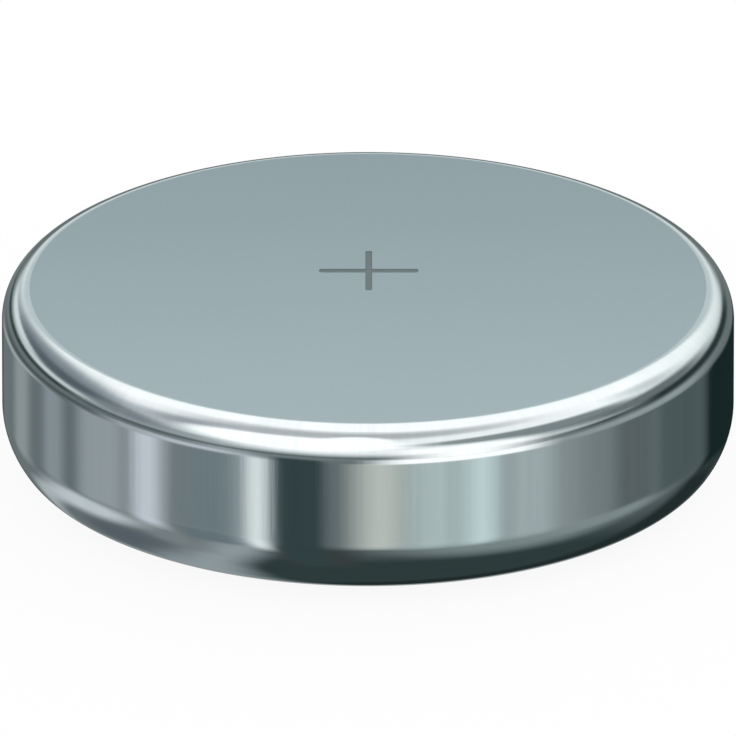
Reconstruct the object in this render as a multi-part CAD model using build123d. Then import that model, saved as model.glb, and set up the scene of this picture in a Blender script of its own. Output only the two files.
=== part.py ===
from build123d import *
import os

# Silver-oxide button cell of the 1130 size: a drawn can (+) crimped over a nylon ring and a
# folded-rim cap (-), with the electrodes stacked between them.
# Millimetres. The cell stands on the cap's contact face at z = 0, + face up, axis on Z.
# Every piece is round about the axis, so each one is a section in radius and height, turned.

# Whole cell
cell_diameter = 11.6
cell_height = 3.05
cap_step = 0.20  # the cap's contact face stands this far out of the crimp

# Positive can: one drawn sheet, mouth down
can_wall = 0.22
edge_width = 0.44  # rounded edge between the face and the wall, along the radius
edge_height = 0.54  # the same edge, along the height
sweep_radius = 1.20  # first, wide bend of the crimp
sweep_turn = 34.0
nose_radius = 0.55  # second, tight bend of the crimp
lip_tilt = 12.0  # the lip rises past level, onto the ring
lip_length = 0.35
crimp_width = 1.30  # full radius to the cap's side wall, which stands inside the lip

# Negative cap: one drawn sheet with its rim folded back outwards
cap_wall = 0.18
cap_corner = 0.40  # contact face to side wall
cap_side = 0.15  # straight stretch of the side wall
shoulder_root = 0.12  # side wall to shoulder
shoulder_bend = 0.35  # shoulder to skirt
shoulder_turn = 70.0
fold_gap = 0.04  # between the skirt and the rim that is pressed flat against it
fold_return = 0.45  # straight stretch of the rim that comes back down

# Sealing ring, nylon
ring_wall = 0.27  # between the folded rim and the can
ring_base = 0.20  # over the folded rim
ring_base_width = 0.88  # in from the can
ring_reveal = 0.10  # the ring stops this far short of the lip's outer edge

# Cathode: pressed pellet with a steel ring let into its edge
pellet_height = 0.75
pellet_clearance = 0.05  # radial, pellet to can
support_wall = 0.12
support_bend = 0.16
support_width = 0.73  # in from the can
support_headroom = 0.03  # under the can's rounded edge

# Between the electrodes
membrane_thickness = 0.06
membrane_clearance = 0.10  # radial, membrane to can
pad_thickness = 0.30
pad_clearance = 0.02  # radial, pad to the ring's bore

# Places that several pieces share
cell_radius = cell_diameter / 2
can_bore = cell_radius - can_wall
face_radius = cell_radius - edge_width
wall_top = cell_height - edge_height
floor_height = cell_height - can_wall
cathode_foot = floor_height - pellet_height
ring_height = cathode_foot - membrane_thickness
rim_height = ring_height - ring_base
can_start = (cell_radius, wall_top)
cap_radius = cell_radius - crimp_width
cap_start = (cap_radius - cap_corner, 0)
rim_radius = can_bore - ring_wall
skirt_radius = rim_radius - cap_wall - fold_gap
skirt_bore = skirt_radius - cap_wall
ring_bore = can_bore - ring_base_width
pad_radius = ring_bore - pad_clearance
pad_foot = ring_height - pad_thickness


def skin(start, heading, run, shift=0.0):
    """Edges of one skin of a formed sheet.

    In the run a number is a straight and a pair is a tangent bend (radius, turn). The skin
    lies the shift to the left of the run, so a shift of one wall gives the other skin.
    """
    here = Vector(*start) + Vector(shift, 0).rotate(Axis.Z, heading + 90)
    edges = []
    for step in run:
        if isinstance(step, tuple):
            radius, turn = step
            inside = shift if turn > 0 else -shift
            tangent = Vector(1, 0).rotate(Axis.Z, heading)
            edges.append(JernArc(here, tangent, radius - inside, turn))
            heading += turn
        else:
            edges.append(PolarLine(here, step, heading))
        here = edges[-1] @ 1
    return edges


def reach(run, heading):
    """How far a run carries the sheet, in radius (X) and height (Y)."""
    return skin((0, 0), heading, run)[-1] @ 1


def chain(*points):
    """Straight edges through the points."""
    return list(Polyline(*points).edges())


def turned(section):
    """The solid that a section makes when it goes round the axis."""
    return revolve(Plane.XZ * section, Axis.Z)


def disc(radius, bottom, top):
    return turned(make_face(chain((0, bottom), (radius, bottom), (radius, top), (0, top), (0, bottom))))


def can_edge(inset=0.0):
    """The can's rounded edge, from the wall to the face; an inset of one wall gives its inside."""
    width, height = edge_width - inset, edge_height - inset
    return EllipticalCenterArc((face_radius, wall_top), width, height, 0, arc_size=90)


def can_run():
    """The can's sheet, from its rounded edge down the wall and round the crimp to the lip."""
    crimp = [(sweep_radius, -sweep_turn), (nose_radius, sweep_turn - 90)]
    wall_length = can_start[1] - cap_step + reach(crimp, -90).Y
    return [wall_length, *crimp, (nose_radius, -lip_tilt), lip_length]


def can_skins():
    """Outer and inner skin of the can below its rounded edge."""
    return skin(can_start, -90, can_run()), skin(can_start, -90, can_run(), -can_wall)


def positive_can():
    """Flat face, rounded edge, straight wall, crimp and lip."""
    outer, inner = can_skins()
    return turned(make_face([
        can_edge(),
        *outer,
        Line(outer[-1] @ 1, inner[-1] @ 1),
        *inner,
        can_edge(can_wall),
        *chain((face_radius, floor_height), (0, floor_height), (0, cell_height)),
        Line((0, cell_height), (face_radius, cell_height)),
    ]))


def cap_run():
    """The cap's sheet, from the edge of its contact face to the top of its skirt.

    The shoulder is as long as the skirt stands out, and the skirt as high as the ring lets it.
    """
    root, bend = (shoulder_root, -shoulder_turn), (shoulder_bend, shoulder_turn)
    slope = Vector(1, 0).rotate(Axis.Z, 90 - shoulder_turn)
    shoulder_reach = skirt_radius - cap_radius - reach([root, bend], 90).X
    cup = [(cap_corner, 90), cap_side, root, shoulder_reach / slope.X, bend]
    fold_radius = cap_wall + fold_gap / 2
    return [*cup, rim_height - fold_radius - reach(cup, 0).Y]


def cap_skins():
    """Outer and inner skin of the cap between its contact face and its fold."""
    return skin(cap_start, 0, cap_run()), skin(cap_start, 0, cap_run(), cap_wall)


def cap_fold():
    """Outside of the rim: round over the skirt, then down to the cut edge."""
    skirt_top = cap_skins()[1][-1] @ 1
    return skin(skirt_top, 90, [(cap_wall + fold_gap / 2, -180), fold_return])


def negative_cap():
    """Contact face, side wall, shoulder, skirt and the rim folded back on it."""
    outer, inner = cap_skins()
    fold = cap_fold()
    skirt_top, cut_edge = outer[-1] @ 1, fold[-1] @ 1
    gap = Vector(fold_gap, 0)
    return turned(make_face([
        *chain(inner[0] @ 0, (0, cap_wall), (0, 0), cap_start),
        *outer,
        *chain(skirt_top, skirt_top + gap, cut_edge - Vector(cap_wall, 0), cut_edge),
        *fold,
        *inner,
    ]))


def cap_envelope():
    """Section of the closed cap, which the sealing ring is squeezed on to."""
    outer, _ = cap_skins()
    fold = cap_fold()
    cut_edge = fold[-1] @ 1
    mouth = (skirt_bore, rim_height)
    return make_face([
        *outer[:-1],
        *chain(outer[-1] @ 0, (skirt_radius, cut_edge.Y), cut_edge),
        *fold,
        *chain(fold[0] @ 0, mouth, (0, rim_height), (0, 0), cap_start),
    ])


def sealing_ring():
    """The nylon fills what the can and the crimp leave round the cap, and covers its rim."""
    outer, inner = can_skins()
    lip_edge, lip_inside = outer[-1] @ 1, inner[-1] @ 1
    end = lip_edge + (lip_inside - lip_edge).normalized() * ring_reveal
    top = (can_bore, ring_height)
    base = (ring_bore, rim_height)
    inside_cap = cap_start[0]
    blank = make_face([
        Line(top, inner[1] @ 0),
        *inner[1:],
        *chain(lip_inside, end, (inside_cap, end.Y), (inside_cap, rim_height), base),
        *chain(base, (ring_bore, ring_height), top),
    ])
    return turned(blank - cap_envelope())


def support_skins():
    """Skins of the ring under the pellet's edge: a flange turned up along the can's wall."""
    start = (can_bore - support_width, cathode_foot)
    height = wall_top - support_headroom - cathode_foot
    run = [support_width - support_bend, (support_bend, 90), height - support_bend]
    return skin(start, 0, run), skin(start, 0, run, support_wall)


def support_ring():
    outer, inner = support_skins()
    return turned(make_face([
        *outer,
        Line(outer[-1] @ 1, inner[-1] @ 1),
        *inner,
        Line(inner[0] @ 0, outer[0] @ 0),
    ]))


def cathode_pellet():
    """Pressed powder up to the can's floor, its lower edge let into the support ring.

    Its upper edge is bevelled to clear the rounded edge inside the can.
    """
    outer, inner = support_skins()
    radius = can_bore - pellet_clearance
    ring_top = (radius, (outer[-1] @ 1).Y)
    bevel = [(radius, wall_top), (face_radius, floor_height)]
    return turned(make_face([
        *chain((0, floor_height), (0, cathode_foot), outer[0] @ 0, inner[0] @ 0),
        *inner,
        *chain(inner[-1] @ 1, ring_top, *bevel, (0, floor_height)),
    ]))


def separator_membrane():
    return disc(can_bore - membrane_clearance, ring_height, cathode_foot)


def absorbent_pad():
    return disc(pad_radius, pad_foot, ring_height)


def zinc_anode():
    """Zinc gel, filling the cap from its floor to the pad and round it up to the ring."""
    _, inner = cap_skins()
    return turned(make_face([
        *inner[:-1],
        *chain(inner[-1] @ 0, (skirt_bore, rim_height), (pad_radius, rim_height)),
        *chain((pad_radius, rim_height), (pad_radius, pad_foot), (0, pad_foot)),
        *chain((0, pad_foot), (0, cap_wall), inner[0] @ 0),
    ]))


pieces = {
    "positive_can": positive_can,
    "negative_cap": negative_cap,
    "sealing_ring": sealing_ring,
    "support_ring": support_ring,
    "cathode_pellet": cathode_pellet,
    "separator_membrane": separator_membrane,
    "absorbent_pad": absorbent_pad,
    "zinc_anode": zinc_anode,
}

os.makedirs("parts", exist_ok=True)
for name, make in pieces.items():
    export_step(make(), f"parts/{name}.step")
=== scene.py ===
import math

import bmesh
import bpy
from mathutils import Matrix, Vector


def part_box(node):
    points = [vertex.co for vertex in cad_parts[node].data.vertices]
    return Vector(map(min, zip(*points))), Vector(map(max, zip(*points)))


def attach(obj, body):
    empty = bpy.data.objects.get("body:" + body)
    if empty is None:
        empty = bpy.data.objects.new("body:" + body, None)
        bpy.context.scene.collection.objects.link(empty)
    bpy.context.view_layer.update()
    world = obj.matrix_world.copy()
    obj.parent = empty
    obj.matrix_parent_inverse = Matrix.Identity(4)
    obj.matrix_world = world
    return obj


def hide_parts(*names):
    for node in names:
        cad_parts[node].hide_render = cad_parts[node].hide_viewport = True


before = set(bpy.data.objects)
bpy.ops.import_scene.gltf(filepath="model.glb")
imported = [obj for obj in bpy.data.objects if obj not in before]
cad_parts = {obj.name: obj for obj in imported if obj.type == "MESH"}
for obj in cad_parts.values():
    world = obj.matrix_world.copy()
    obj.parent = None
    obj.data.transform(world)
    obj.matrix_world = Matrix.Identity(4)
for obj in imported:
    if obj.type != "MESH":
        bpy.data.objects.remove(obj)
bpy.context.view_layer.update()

# A silver-oxide button cell, + face up, standing on its cap. Metres, in the frame of the packed
# model: the axis is Z, and the cap's contact face lies at z = 0.

mm = 0.001

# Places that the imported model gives
can_low, can_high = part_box("positive_can")
cell_radius = can_high.x
cell_height = can_high.z
crimp_foot = can_low.z

# The can's sheet, as it was drawn and crimped
can_wall = 0.22 * mm
edge_width = 0.44 * mm  # rounded edge between the face and the wall, along the radius
edge_height = 0.54 * mm  # the same edge, along the height
face_radius = cell_radius - edge_width
wall_top = cell_height - edge_height
sweep = (1.20 * mm, -34)  # bends of the crimp: radius and turn
nose = (0.55 * mm, -56)
lip_rise = (0.55 * mm, -12)
lip_length = 0.35 * mm

# The + mark, cut into the face behind its middle
mark_centre = (0.012 * mm, 0.66 * mm)
mark_arm = 0.785 * mm  # middle to the end of an arm
mark_strokes = (0.105 * mm, 0.15 * mm)  # widths: arms along Y, arms along X
mark_round = 0.04 * mm  # at the ends of the arms
mark_depth = 0.012 * mm
mark_draft = 0.006 * mm  # its sides slope in by this much on their way down

# How finely round shapes are divided, in degrees but for the turn
turn_steps = 384
bend_step = 3.0
edge_step = 1.5  # of the rounded edge
mark_step = 30.0  # of the arms' rounded ends
crease_angle = 30.0  # faces that meet at more than this keep a sharp edge
hold = 0.02 * mm  # a straight keeps its own slope up to this far from its ends
same_place = 0.0002 * mm  # points nearer together than this are one


# ---- Shader maths ----


class Value:
    """What a node gives. A sum written with it adds the Math nodes that work it out."""

    def __init__(self, tree, socket):
        self.tree = tree
        self.socket = socket

    def __add__(self, other):
        return self.tree.maths("ADD", self, other)

    def __sub__(self, other):
        return self.tree.maths("SUBTRACT", self, other)

    def __mul__(self, other):
        return self.tree.maths("MULTIPLY", self, other)

    def __truediv__(self, other):
        return self.tree.maths("DIVIDE", self, other)

    def __pow__(self, power):
        return self.tree.maths("POWER", self, power)

    def __rsub__(self, other):
        return self.tree.maths("SUBTRACT", other, self)

    def __rtruediv__(self, other):
        return self.tree.maths("DIVIDE", other, self)

    def __abs__(self):
        return self.tree.maths("ABSOLUTE", self)

    __radd__ = __add__
    __rmul__ = __mul__


class Tree:
    """The nodes of one material or of the world."""

    def __init__(self, owner):
        owner.use_nodes = True
        self.nodes = owner.node_tree.nodes
        self.links = owner.node_tree.links
        self.nodes.clear()

    def node(self, kind, settings=None, inputs=None, output=0):
        """One node of a type: its settings first, then its sockets' values or links.

        Sockets go by name, or by number where names repeat. Gives the output asked for.
        """
        made = self.nodes.new(kind)
        for name, setting in (settings or {}).items():
            if name == "stops":
                self.set_stops(made.color_ramp.elements, setting)
            else:
                setattr(made, name, setting)
        for name, value in (inputs or {}).items():
            if isinstance(value, Value):
                self.links.new(value.socket, made.inputs[name])
            else:
                made.inputs[name].default_value = value
        return Value(self, made.outputs[output]) if made.outputs else None

    @staticmethod
    def set_stops(elements, stops):
        while len(elements) < len(stops):
            elements.new(1.0)
        for element, (place, colour) in zip(elements, stops):
            element.position = place
            element.color = (*colour, 1)

    def maths(self, operation, *values):
        return self.node("ShaderNodeMath", {"operation": operation}, dict(enumerate(values)))

    def blend(self, amount, first, second):
        """One colour into another."""
        first, second = (c if isinstance(c, Value) else (*c, 1) for c in (first, second))
        inputs = {0: amount, 6: first, 7: second}
        return self.node("ShaderNodeMix", {"data_type": "RGBA"}, inputs, output=2)

    def fade(self, amount, first, second):
        """One number into another."""
        inputs = {0: amount, 2: first, 3: second}
        return self.node("ShaderNodeMix", {"data_type": "FLOAT"}, inputs)

    def step(self, value, low, high):
        """0 up to low and 1 from high on, with a smooth edge. Low may be the higher one."""
        inputs = {"Value": value, "From Min": low, "From Max": high}
        return self.node("ShaderNodeMapRange", {"interpolation_type": "SMOOTHSTEP"}, inputs)

    def place(self):
        """Where a point of the piece is, in metres."""
        return self.node("ShaderNodeTexCoord", output="Object")

    def parts(self, vector):
        """X, Y and Z of a vector."""
        x = self.node("ShaderNodeSeparateXYZ", inputs={0: vector})
        return [Value(self, socket) for socket in x.socket.node.outputs]

    def joined(self, x, y, z):
        return self.node("ShaderNodeCombineXYZ", inputs={0: x, 1: y, 2: z})

    def noise(self, vector, scale, detail=2.0, roughness=0.5):
        """Cloudy pattern from 0 to 1, with about `scale` patches to the metre."""
        inputs = {"Vector": vector, "Scale": scale, "Detail": detail, "Roughness": roughness}
        return self.node("ShaderNodeTexNoise", inputs=inputs)

    def relief(self, height, depth):
        """Surface slopes for a height from 0 to 1 that stands for so many metres."""
        inputs = {"Height": height, "Strength": 1.0, "Distance": depth}
        return self.node("ShaderNodeBump", inputs=inputs)


def length(across, up):
    """How far off a place is that lies so far across and so far up."""
    return (across * across + up * up) ** 0.5


def material(name):
    made = bpy.data.materials.new(name)
    return made, Tree(made)


def surface(tree, **sockets):
    """Ends a material in the Principled shader. A socket's name has _ for its spaces."""
    inputs = {name.replace("_", " "): value for name, value in sockets.items()}
    shader = tree.node("ShaderNodeBsdfPrincipled", inputs=inputs)
    tree.node("ShaderNodeOutputMaterial", inputs={"Surface": shader})


# ---- Finishes ----


def satin_face():
    """Nickel plate with the even satin of a blasted press tool, and painted light: its colour is
    painted paler towards the front and darker towards the back.
    """
    made, t = material("satin_nickel_face_painted_light")
    where = t.place()
    grain = t.noise(where, 26 / mm, detail=3)
    cloud = t.noise(where, 0.42 / mm)
    _, y, _ = t.parts(where)
    drift_end = 1.4 * face_radius  # past the rim, which leaves the face the even middle of the painted light
    # painted light: the face's colour goes from a pale front to a darker back, as light falling on
    # it
    painted_light_front_to_back = t.step(y, -drift_end, drift_end)
    tone = t.blend(painted_light_front_to_back, (0.470, 0.554, 0.577), (0.330, 0.409, 0.431))
    speckles = grain * 0.16 + cloud * 0.10
    surface(
        t,
        Base_Color=t.blend(speckles, tone, (0.257, 0.302, 0.319)),
        Metallic=1.0,
        Roughness=0.36 + 0.08 * grain + 0.04 * cloud,
        Normal=t.relief(grain, 0.0009 * mm),
    )
    return made


def drawn_plate():
    """Bright nickel plate: draw marks down the wall and the edge, tool rings round the crimp."""
    made, t = material("bright_nickel_plate")
    squeeze = 0.02  # the height counts this little, so that draw marks run long down the wall
    ring_slant = 0.6  # how much of the radius counts, beside the height, in where a ring lies
    rings_end, draw_start = 1.0 * mm, 1.5 * mm  # heights, where the crimp becomes the wall
    x, y, z = t.parts(t.place())
    radius = length(x, y)
    wall_x, wall_y = (way / radius * cell_radius for way in (x, y))
    down_wall = t.joined(wall_x, wall_y, z * squeeze)
    draw_marks = t.noise(down_wall, 9 / mm, detail=3, roughness=0.6)
    broad_marks = t.noise(down_wall, 1.5 / mm)
    tool_rings = t.noise(t.joined(radius * ring_slant + z, z, 0.0), 9 / mm, detail=3)
    marks = t.fade(t.step(z, rings_end, draw_start), tool_rings, draw_marks)
    surface(
        t,
        Base_Color=t.blend((marks + broad_marks) / 2, (0.65, 0.70, 0.71), (0.83, 0.86, 0.865)),
        Metallic=1.0,
        Roughness=0.035 + 0.04 * marks + 0.03 * broad_marks,
        Normal=t.relief(marks, 0.0005 * mm),
    )
    return made


def mark_floor():
    """Floor and sides of the + mark, darker in colour than the face and left rougher by the
    graving tool.
    """
    made, t = material("cut_mark")
    grain = t.noise(t.place(), 30 / mm, detail=3)
    surface(
        t,
        Base_Color=t.blend(grain, (0.15, 0.185, 0.19), (0.24, 0.285, 0.295)),
        Metallic=1.0,
        Roughness=0.5 + 0.15 * grain,
        Normal=t.relief(grain, 0.002 * mm),
    )
    return made


def cap_plate():
    """Bright outside of the cap, with round press marks and fine scratches."""
    made, t = material("bright_cap_plate")
    squeeze, lean = 0.08, 0.2  # of the scratches, which run long along X and lean off it
    where = t.place()
    x, y, z = t.parts(where)
    rings = t.noise(t.joined(length(x, y), z, 0.0), 7 / mm, detail=3)
    cloud = t.noise(where, 0.5 / mm, detail=3)
    scratches = t.noise(t.joined(x * squeeze, y + x * lean, z), 14 / mm)
    surface(
        t,
        Base_Color=t.blend(cloud, (0.66, 0.68, 0.67), (0.74, 0.75, 0.73)),
        Metallic=1.0,
        Roughness=0.16 + 0.10 * rings + 0.08 * cloud,
        Normal=t.relief(rings * 0.6 + scratches * 0.4, 0.0005 * mm),
    )
    return made


def nylon():
    """Pale moulded nylon, a little translucent and waxy."""
    made, t = material("natural_nylon")
    cloud = t.noise(t.place(), 2.5 / mm, detail=3)
    surface(
        t,
        Base_Color=t.blend(cloud, (0.60, 0.58, 0.50), (0.70, 0.68, 0.60)),
        Roughness=0.42 + 0.12 * cloud,
        Subsurface_Weight=0.15,
        Subsurface_Scale=0.2 * mm,
        Normal=t.relief(cloud, 0.002 * mm),
    )
    return made


def stamped_steel():
    """Plated strip, with the grain of its rolling along X."""
    made, t = material("stamped_steel")
    squeeze = 0.1
    x, y, z = t.parts(t.place())
    grain = t.noise(t.joined(x * squeeze, y, z), 9 / mm, detail=3)
    surface(
        t,
        Base_Color=t.blend(grain, (0.50, 0.50, 0.49), (0.60, 0.60, 0.58)),
        Metallic=1.0,
        Roughness=0.30 + 0.15 * grain,
        Normal=t.relief(grain, 0.0008 * mm),
    )
    return made


def pressed_powder():
    """Pressed silver oxide with graphite: matt and grainy."""
    made, t = material("pressed_silver_oxide")
    grain = t.noise(t.place(), 16 / mm, detail=4, roughness=0.65)
    surface(
        t,
        Base_Color=t.blend(grain, (0.035, 0.035, 0.038), (0.11, 0.11, 0.115)),
        Roughness=0.75 + 0.2 * grain,
        Normal=t.relief(grain, 0.006 * mm),
    )
    return made


def film():
    """Cellulose film, pale and slightly wrinkled."""
    made, t = material("cellulose_film")
    wrinkle = t.noise(t.place(), 1.8 / mm, detail=3)
    surface(
        t,
        Base_Color=t.blend(wrinkle, (0.74, 0.70, 0.56), (0.84, 0.80, 0.66)),
        Roughness=0.35 + 0.15 * wrinkle,
        Normal=t.relief(wrinkle, 0.008 * mm),
    )
    return made


def fleece():
    """Non-woven fleece: short fibres lying every way."""
    made, t = material("fleece")
    squeeze = 0.12
    x, y, z = t.parts(t.place())
    one_way = t.noise(t.joined(x * squeeze, y, z), 20 / mm, detail=3)
    other_way = t.noise(t.joined(x, y * squeeze, z), 20 / mm, detail=3)
    fibres = t.maths("MAXIMUM", one_way, other_way)
    surface(
        t,
        Base_Color=t.blend(fibres, (0.66, 0.66, 0.63), (0.90, 0.90, 0.87)),
        Roughness=0.8 + 0.1 * one_way,
        Normal=t.relief(fibres, 0.02 * mm),
    )
    return made


def zinc_gel():
    """Zinc grains set in clear gel."""
    made, t = material("zinc_gel")
    cell = t.node("ShaderNodeTexVoronoi", inputs={"Vector": t.place(), "Scale": 9 / mm})
    grains = t.step(cell, 0.55, 0.15)
    surface(
        t,
        Base_Color=t.blend(grains, (0.20, 0.21, 0.22), (0.52, 0.53, 0.56)),
        Metallic=grains * 0.9,
        Roughness=0.25 + 0.25 * grains,
        Normal=t.relief(grains, 0.02 * mm),
    )
    return made


# ---- Shapes ----


def move(point, heading, way):
    """The point that lies so far on along a heading in degrees."""
    a = math.radians(heading)
    return Vector((point.x + math.cos(a) * way, point.y + math.sin(a) * way))


def straight(start, heading, way):
    """Both ends of a straight, with hold points beside them where there is room."""
    stops = (0, hold, way - hold, way) if way >= 4 * hold else (0, way)
    return [move(start, heading, stop) for stop in stops]


def bend(start, heading, radius, turn):
    """A round bend that goes on from a heading, to the left if the turn is positive."""
    side = math.copysign(90, turn)
    centre = move(start, heading + side, radius)
    steps = max(2, math.ceil(abs(turn) / bend_step))
    return [move(centre, heading - side + turn * i / steps, radius) for i in range(steps + 1)]


def skin(start, heading, run, shift=0.0):
    """Points of one skin of a formed sheet, as (radius, height).

    In the run a number is a straight and a pair is a bend (radius, turn). The skin lies the
    shift to the left of the run, so a shift of one wall gives the other skin.
    """
    points = [move(Vector(start), heading + 90, shift)]
    for step in run:
        if isinstance(step, tuple):
            radius, turn = step
            inside = shift if turn > 0 else -shift
            points += bend(points[-1], heading, radius - inside, turn)[1:]
            heading += turn
        else:
            points += straight(points[-1], heading, step)[1:]
    return points


def can_edge(inset=0.0):
    """The rounded edge, from the face to the wall. An inset of one wall gives its inside."""
    width, height = edge_width - inset, edge_height - inset
    points = []
    for i in range(round(90 / edge_step) + 1):
        a = math.radians(edge_step * i)
        points.append(Vector((face_radius + width * math.sin(a), wall_top + height * math.cos(a))))
    return points


def turned(bm, stretches):
    """Turns a chain of points about the axis, in bands that take their stretch's finish.

    Gives the first and the last ring, which are still open.
    """
    rings = []
    for finish, points in stretches:
        for point in points:
            if rings and (point - last).length < same_place:
                continue
            last = point
            ring = []
            for i in range(turn_steps):
                a = 2 * math.pi * i / turn_steps
                around = (point.x * math.sin(a), -point.x * math.cos(a), point.y)
                ring.append(bm.verts.new(around))
            if rings:
                for i in range(turn_steps):
                    j = (i + 1) % turn_steps
                    face = bm.faces.new((rings[-1][i], rings[-1][j], ring[j], ring[i]))
                    face.material_index = finish
            rings.append(ring)
    return rings[0], rings[-1]


def finished(name, bm, materials):
    """The piece made from a bmesh, smooth but for its creases, riding on the cell."""
    bmesh.ops.recalc_face_normals(bm, faces=bm.faces)
    mesh = bpy.data.meshes.new(name)
    bm.to_mesh(mesh)
    bm.free()
    mesh.polygons.foreach_set("use_smooth", [True] * len(mesh.polygons))
    mesh.set_sharp_from_angle(angle=math.radians(crease_angle))
    for made in materials:
        mesh.materials.append(made)
    piece = bpy.data.objects.new(name, mesh)
    bpy.context.scene.collection.objects.link(piece)
    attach(piece, "root")
    return piece


def mark_outline(height, inset=0.0):
    """Corners of the + at a height: the same quarter four times, one arm's end in each."""
    centre_x, centre_y = mark_centre
    arm = mark_arm - inset - mark_round
    halves = [stroke / 2 - inset for stroke in mark_strokes]
    points = []
    for turn in range(4):
        c, s = round(math.cos(turn * math.pi / 2)), round(math.sin(turn * math.pi / 2))
        half, other = halves[1 - turn % 2], halves[turn % 2]
        quarter = [(other, half)]
        for end, angle in ((half - mark_round, 90), (mark_round - half, 0)):
            for i in range(round(90 / mark_step) + 1):
                a = math.radians(angle - mark_step * i)
                quarter.append((arm + mark_round * math.cos(a), end + mark_round * math.sin(a)))
        for x, y in quarter:
            points.append((centre_x + c * x + s * y, centre_y - s * x + c * y, height))
    return points


def loop(bm, points):
    """Corners and edges of a closed outline."""
    corners = [bm.verts.new(p) for p in points]
    edges = [bm.edges.new((corners[i - 1], corners[i])) for i in range(len(corners))]
    return corners, edges


def engraved_face(bm, rim, face_finish, mark_finish):
    """Fills the flat face inside its rim and sinks the + into it."""
    rim_edges = [bm.edges.get((rim[i - 1], rim[i])) for i in range(len(rim))]
    top, top_edges = loop(bm, mark_outline(cell_height))
    sunk, sunk_edges = loop(bm, mark_outline(cell_height - mark_depth, mark_draft))
    for edges, finish in ((rim_edges + top_edges, face_finish), (sunk_edges, mark_finish)):
        made = bmesh.ops.triangle_fill(bm, use_beauty=True, edges=edges, normal=(0, 0, 1))
        for face in made["geom"]:
            if isinstance(face, bmesh.types.BMFace):
                face.material_index = finish
    for i in range(len(top)):
        face = bm.faces.new((top[i - 1], top[i], sunk[i], sunk[i - 1]))
        face.material_index = mark_finish


def can():
    """Flat face with its mark, rounded edge, wall, crimp and lip, and the hidden inside."""
    face, plate, mark = 0, 1, 2
    crimp_drop = -skin((0, 0), -90, [sweep, nose])[-1].y
    wall_length = wall_top - crimp_foot - crimp_drop
    run = [wall_length, sweep, nose, lip_rise, lip_length]
    stretches = [
        (face, [Vector((face_radius - hold, cell_height)), Vector((face_radius, cell_height))]),
        (plate, can_edge()),
        (plate, skin((cell_radius, wall_top), -90, run)),
        (plate, skin((cell_radius, wall_top), -90, run, -can_wall)[::-1]),
        (plate, can_edge(can_wall)[::-1]),
    ]
    bm = bmesh.new()
    rim, inside = turned(bm, stretches)
    engraved_face(bm, rim, face, mark)
    bm.faces.new(inside).material_index = plate
    piece = finished("drawn_can", bm, (satin_face(), drawn_plate(), mark_floor()))
    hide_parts("positive_can")


def dress_packed_pieces():
    """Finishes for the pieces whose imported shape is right."""
    finishes = {
        "negative_cap": cap_plate,
        "sealing_ring": nylon,
        "support_ring": stamped_steel,
        "cathode_pellet": pressed_powder,
        "separator_membrane": film,
        "absorbent_pad": fleece,
        "zinc_anode": zinc_gel,
    }
    for node, finish in finishes.items():
        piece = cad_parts[node]
        made = finish()
        for slot in piece.material_slots:
            slot.material = made


# ---- Studio ----


class Studio:
    """Light from all round the cell, as cards and screens that the bright metal mirrors.

    Azimuth is 0 towards the camera and grows to the right; elevation is above the horizon.
    Both are in degrees.
    """

    def __init__(self, tree):
        self.tree = tree
        x, y, z = tree.parts(tree.node("ShaderNodeTexCoord", output="Generated"))
        degree = math.pi / 180
        self.azimuth = tree.maths("ARCTAN2", x, 0 - y) / degree
        self.elevation = tree.maths("ARCSINE", z) / degree

    def backdrop(self, stops):
        """Tone by elevation alone, from straight down to straight up."""
        stops = [((elevation + 90) / 180, tone) for elevation, tone in stops]
        inputs = {"Fac": (self.elevation + 90) / 180}
        self.light = self.tree.node("ShaderNodeValToRGB", {"stops": stops}, inputs)

    def offset(self, azimuth, elevation):
        """How far a direction is to the right of a place and above it."""
        right = self.tree.maths("WRAP", self.azimuth - azimuth, 180, -180)
        return right, self.elevation - elevation

    def reach(self, centre, radii):
        """0 at the centre of an oval and 1 on its rim."""
        return length(*(way / radius for way, radius in zip(self.offset(*centre), radii)))

    def paint(self, mask, tone):
        self.light = self.tree.blend(mask, self.light, tone)

    def card(self, tone, azimuth, elevation, edge=(4, 4)):
        """A panel from one azimuth and elevation to another, with soft edges."""
        offsets = self.offset(sum(azimuth) / 2, sum(elevation) / 2)
        masks = []
        for way, (low, high), soft in zip(offsets, (azimuth, elevation), edge):
            half = (high - low) / 2
            masks.append(self.tree.step(abs(way), half + soft, half - soft))
        self.paint(masks[0] * masks[1], tone)

    def disc(self, tone, centre, radii, soft=0.2):
        """An oval panel, soft over a share of its radii."""
        self.paint(self.tree.step(self.reach(centre, radii), 1 + soft, 1 - soft), tone)

    def hoop(self, tone, centre, radii, width=0.1):
        """An oval band that fades out a share of its radii to each side."""
        self.paint(self.tree.step(abs(self.reach(centre, radii) - 1), width, 0), tone)


# The tent that the rest is set in: elevation, tone
BACKDROP = [
    (-90, (0.035, 0.055, 0.055)),
    (-52, (0.035, 0.055, 0.055)),
    (-24, (0.14, 0.17, 0.18)),
    (0, (0.22, 0.26, 0.26)),
    (14, (0.82, 0.88, 0.88)),
    (32, (1.12, 1.17, 1.17)),
    (48, (1.28, 1.28, 1.28)),
    (90, (1.28, 1.28, 1.28)),
]

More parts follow.
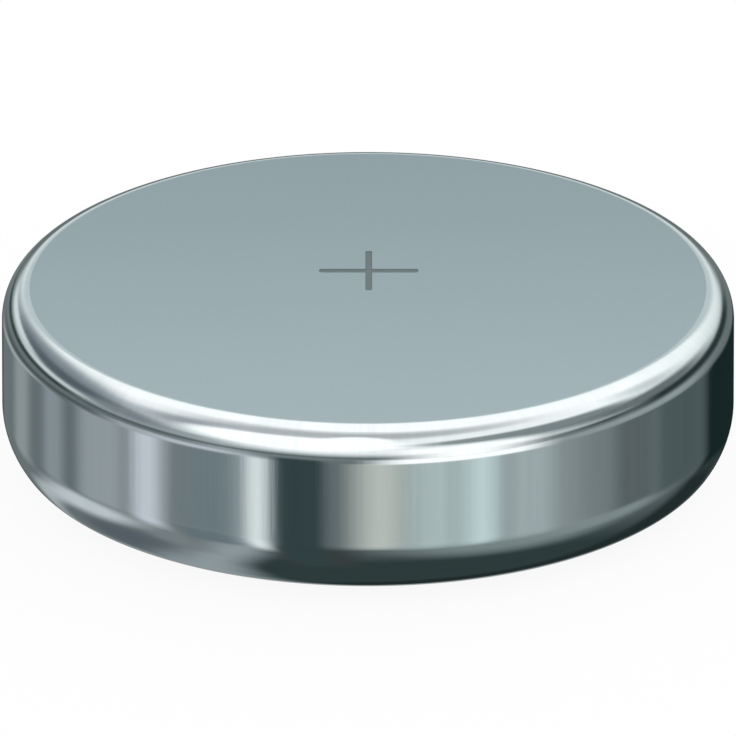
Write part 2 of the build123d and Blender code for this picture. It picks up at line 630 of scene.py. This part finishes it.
# Cards: tone, azimuths, elevations, softness of their edges
# Discs: tone, centre, radii, softness; hoops: tone, centre, radii, width
STUDIO = [
    # what the crimp mirrors
    ("disc", (0.16, 0.185, 0.195), (-112, -38), (66, 32), 0.2),
    ("hoop", (0.34, 0.39, 0.41), (-112, -24), (72, 42), 0.28),
    ("card", (0.23, 0.26, 0.27), (-86, -62), (-52, -20), (8, 8)),
    ("disc", (0.12, 0.14, 0.16), (-122, -50), (30, 6), 0.5),
    ("disc", (0.24, 0.29, 0.29), (54, -27), (42, 18), 0.5),
    ("disc", (0.27, 0.32, 0.32), (78, -28), (30, 8), 0.5),
    ("disc", (0.48, 0.53, 0.55), (-138, -35.5), (26, 3.2), 0.7),
    ("disc", (0.64, 0.69, 0.72), (-108, -34), (23, 7), 0.6),
    ("card", (0.05, 0.06, 0.06), (-34, -4), (-60, -29), (8, 5)),
    ("card", (0.02, 0.03, 0.03), (126, 190), (-80, -28), (10, 4)),
    ("card", (0.40, 0.44, 0.44), (168, 192), (-50, -34), (8, 6)),
    # strips that the wall mirrors
    ("card", (0.16, 0.19, 0.20), (-165, -85), (-27, -10), (8, 3)),
    ("card", (0.31, 0.35, 0.36), (-149, -136), (-27, -20), (5, 3)),
    ("card", (0.30, 0.34, 0.37), (-124, -113), (-27, -20), (4, 3)),
    ("card", (0.36, 0.40, 0.43), (-104, -84), (-27, -20), (5, 3)),
    ("card", (0.70, 0.73, 0.80), (-80, -69), (-31, -20), (5, 5)),
    ("card", (0.16, 0.21, 0.23), (-61, -43), (-36, -20), (6, 3)),
    ("card", (0.96, 1.01, 1.01), (-38.5, -32), (-36, -20), (3.5, 6)),
    ("card", (0.04, 0.065, 0.067), (-29, -14), (-60, -13), (3, 4)),
    ("card", (0.60, 0.63, 0.58), (-4, 12), (-28, -20), (8, 3)),
    ("card", (0.49, 0.58, 0.58), (12, 30), (-29, -20), (8, 4)),
    ("card", (0.66, 0.79, 0.79), (31, 42), (-29, -20), (6, 4)),
    ("card", (0.42, 0.48, 0.49), (45, 62), (-29, -20), (5, 4)),
    ("card", (0.30, 0.34, 0.35), (64, 72), (-27, -20), (8, 3)),
    ("card", (0.21, 0.24, 0.25), (72, 84), (-26, -20), (10, 2)),
    ("card", (0.12, 0.145, 0.15), (84, 104), (-26, -20), (6, 2)),
    ("card", (0.09, 0.12, 0.12), (104, 132), (-27, -20), (6, 3)),
    ("card", (0.010, 0.022, 0.022), (133.5, 190), (-29, -18), (6, 3)),
    # just above them
    ("card", (0.42, 0.46, 0.46), (-160, -125), (-21.5, -18), (8, 2)),
    ("card", (0.07, 0.09, 0.09), (-152, -96), (-16, -12), (8, 3)),
    ("card", (0.40, 0.43, 0.46), (-88, -62), (-21.5, -11), (8, 2)),
    ("card", (0.60, 0.63, 0.68), (-72, -40), (-21.5, -13), (12, 3)),
    ("card", (0.34, 0.39, 0.39), (58, 124), (-19, -9), (12, 3)),
    ("card", (0.16, 0.19, 0.19), (142, 190), (-18, -7), (8, 4)),
    # overhead
    ("disc", (0.94, 0.96, 0.97), (-10, 66), (104, 28), 0.35),
    ("disc", (0.55, 0.57, 0.58), (-6, 68), (82, 12.5), 0.6),
    ("disc", (0.66, 0.69, 0.73), (-76, 34), (18, 22), 0.6),
    ("disc", (0.56, 0.58, 0.61), (-56, 59), (22, 9), 0.7),
    ("disc", (0.42, 0.44, 0.48), (-70, 42), (11, 14), 0.8),
    ("disc", (1.10, 1.12, 1.12), (46, 46), (38, 9), 0.5),
    ("disc", (0.74, 0.79, 0.79), (111, 32), (12, 12), 0.8),
    # in front, from the edge of the table up to the bright dome
    ("card", (0.38, 0.42, 0.43), (-98, 10), (-1, 12), (12, 4)),
    ("card", (0.90, 0.93, 0.94), (-42, 14), (4.5, 14), (16, 5)),
    ("card", (1.10, 1.13, 1.13), (-38, 14), (10, 20), (14, 4)),
    ("disc", (1.35, 1.35, 1.35), (-24, 34), (38.5, 20), 0.2),
    ("disc", (1.35, 1.35, 1.35), (-5, 50), (14, 15), 0.3),
    # left: slate screen
    ("disc", (0.52, 0.57, 0.60), (-121, 26), (38, 20), 0.4),
    ("disc", (0.27, 0.31, 0.34), (-121, 24), (35, 14), 0.5),
    ("disc", (0.11, 0.14, 0.16), (-112, 18), (34, 8), 0.7),
    # right: bright window, narrow over the edge of the table, and grey screens
    ("disc", (0.64, 0.69, 0.69), (62, 7), (22, 4.5), 0.7),
    ("card", (1.32, 1.30, 1.30), (9, 52), (5, 20), (7, 4)),
    ("card", (1.32, 1.30, 1.30), (14, 47), (-9, 8), (14, 2)),
    ("card", (1.32, 1.32, 1.32), (4, 55), (-21.5, -8.5), (10, 2)),
    ("disc", (0.30, 0.34, 0.34), (44, 31), (28, 8), 0.4),
    ("disc", (0.25, 0.29, 0.30), (68, 24), (25, 12), 0.4),
    ("disc", (0.17, 0.20, 0.21), (98, 12.5), (31, 9), 0.5),
    # behind, beside the face
    ("disc", (0.60, 0.68, 0.70), (180, 25), (17, 8), 0.5),
    # the edge of the table all round, and the light line over it at the left
    ("card", (0.24, 0.27, 0.30), (-94, -66), (4, 20), (10, 8)),
    ("disc", (0.76, 0.83, 0.83), (-148, 10), (20, 4), 0.5),
    ("disc", (0.66, 0.73, 0.73), (-119, 5.5), (22, 3.2), 0.5),
    ("card", (0.04, 0.06, 0.06), (-168, -100), (-5, 1), (10, 2.5)),
    ("card", (0.10, 0.13, 0.14), (-100, -52), (-6, -0.5), (8, 2.5)),
    ("card", (0.13, 0.16, 0.16), (-62, 5), (-5.5, -1.5), (8, 2)),
    ("card", (0.07, 0.09, 0.09), (66, 92), (-4, 3), (14, 3)),
    ("card", (0.03, 0.045, 0.045), (92, 158), (-6, 6), (10, 4)),
    ("card", (0.15, 0.17, 0.17), (164, 198), (-8, 10), (8, 5)),
]


def studio_world():
    """White to the camera; to the cell, a light tent with pale and dark cards round it."""
    world = bpy.data.worlds.new("studio")
    bpy.context.scene.world = world
    t = Tree(world)
    studio = Studio(t)
    studio.backdrop(BACKDROP)
    for shape, *settings in STUDIO:
        getattr(studio, shape)(*settings)
    seen = t.node("ShaderNodeLightPath", output="Is Camera Ray")
    white = t.node("ShaderNodeBackground", inputs={"Color": (1, 1, 1, 1)})
    lit = t.node("ShaderNodeBackground", inputs={"Color": studio.light})
    shader = t.node("ShaderNodeMixShader", inputs={0: seen, 1: lit, 2: white})
    t.node("ShaderNodeOutputWorld", inputs={"Surface": shader})


# The table, and the shade that the cell casts on it
table_radius = 0.6
table_sides = 96
shade_radius = 7 * mm  # the shade shows in full up to here
shade_end = 16 * mm  # and not at all from here on
shade_share = 0.08


def floor_shader():
    """White, with a little of the cell's own shade near it; clear from below."""
    made, t = material("studio_floor")
    shaded = t.node("ShaderNodeBsdfDiffuse", inputs={"Color": (1, 1, 1, 1)})
    white = t.node("ShaderNodeEmission", inputs={"Color": (1, 1, 1, 1)})
    x, y, _ = t.parts(t.place())
    near = t.step(length(x, y), shade_end, shade_radius)
    top = t.node("ShaderNodeMixShader", inputs={0: near * shade_share, 1: white, 2: shaded})
    clear = t.node("ShaderNodeBsdfTransparent")
    behind = t.node("ShaderNodeNewGeometry", output="Backfacing")
    shader = t.node("ShaderNodeMixShader", inputs={0: behind, 1: top, 2: clear})
    t.node("ShaderNodeOutputMaterial", inputs={"Surface": shader})
    return made


def floor():
    """The table, which the camera sees and the cell doesn't mirror."""
    bm = bmesh.new()
    bmesh.ops.create_circle(bm, cap_ends=True, segments=table_sides, radius=table_radius)
    mesh = bpy.data.meshes.new("studio_floor")
    bm.to_mesh(mesh)
    bm.free()
    mesh.materials.append(floor_shader())
    table = bpy.data.objects.new("studio_floor", mesh)
    bpy.context.scene.collection.objects.link(table)
    table.visible_glossy = False
    table.visible_diffuse = False
    table.visible_transmission = False
    table.visible_shadow = False


def camera():
    """Looks down on the cell from the front, through a long lens that the cell fills."""
    distance = 0.55
    elevation = math.radians(23.55)
    view_width = 11.667 * mm
    aim_depth = 1.396 * mm  # below the face
    aim = Vector((0, 0, cell_height - aim_depth))
    data = bpy.data.cameras.new("camera")
    data.lens = data.sensor_width * distance / view_width
    data.clip_start = 0.01
    data.clip_end = 5
    seat = bpy.data.objects.new("camera", data)
    bpy.context.scene.collection.objects.link(seat)
    back = Vector((0, -math.cos(elevation), math.sin(elevation)))
    seat.location = aim + back * distance
    seat.rotation_mode = "QUATERNION"
    seat.rotation_quaternion = (-back).to_track_quat("-Z", "Y")
    bpy.context.scene.camera = seat


can()
dress_packed_pieces()
studio_world()
floor()
camera()
bpy.context.scene.view_settings.view_transform = "Standard"

bpy.context.view_layer.update()
